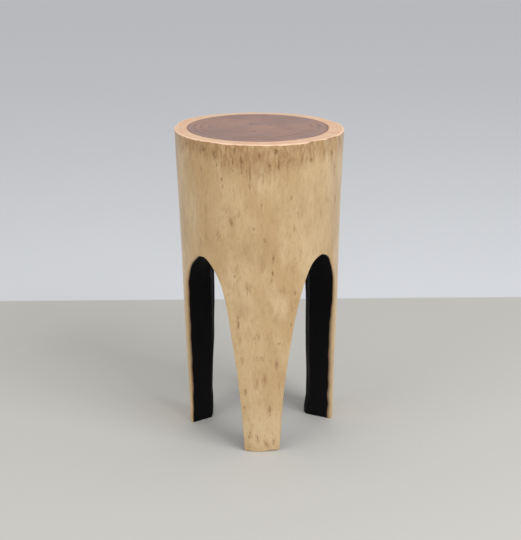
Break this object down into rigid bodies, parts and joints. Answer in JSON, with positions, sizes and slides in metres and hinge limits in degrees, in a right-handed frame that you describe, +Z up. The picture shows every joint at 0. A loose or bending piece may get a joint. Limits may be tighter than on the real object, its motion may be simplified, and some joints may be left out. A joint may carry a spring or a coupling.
{
  "type": "drum table",
  "caption": "Round log table: a drum-shaped body hollowed from below, standing on legs left between tall pointed arches, with a flat two-tone end-grain top.",
  "frame": {"origin": "centre of the table on the floor plane, under the log's axis", "axes": "+Z up along the log, -Y towards the front leg, +X to the right seen from the front"},
  "size_m": [0.2638, 0.2638, 0.5],
  "materials": {
    "sapwood": "debarked, smoothed, clear matt oil",
    "heartwood": "sanded end grain, clear matt oil",
    "blackened_wood": "charred and stained black, satin",
    "knot_wood": "sanded flush",
    "check_filler": "sanded flush"
  },
  "bodies": {
    "root": {"sapwood_shell": "sapwood", "heartwood_top": "heartwood", "heartwood_wall": "heartwood", "hollow_lining": "blackened_wood", "arch_lining_front_left": "blackened_wood", "arch_lining_front_right": "blackened_wood", "arch_lining_back_right": "blackened_wood", "arch_lining_back_left": "blackened_wood", "pin_knots": "knot_wood", "check_fillers": "check_filler"}
  },
  "joints": []
}
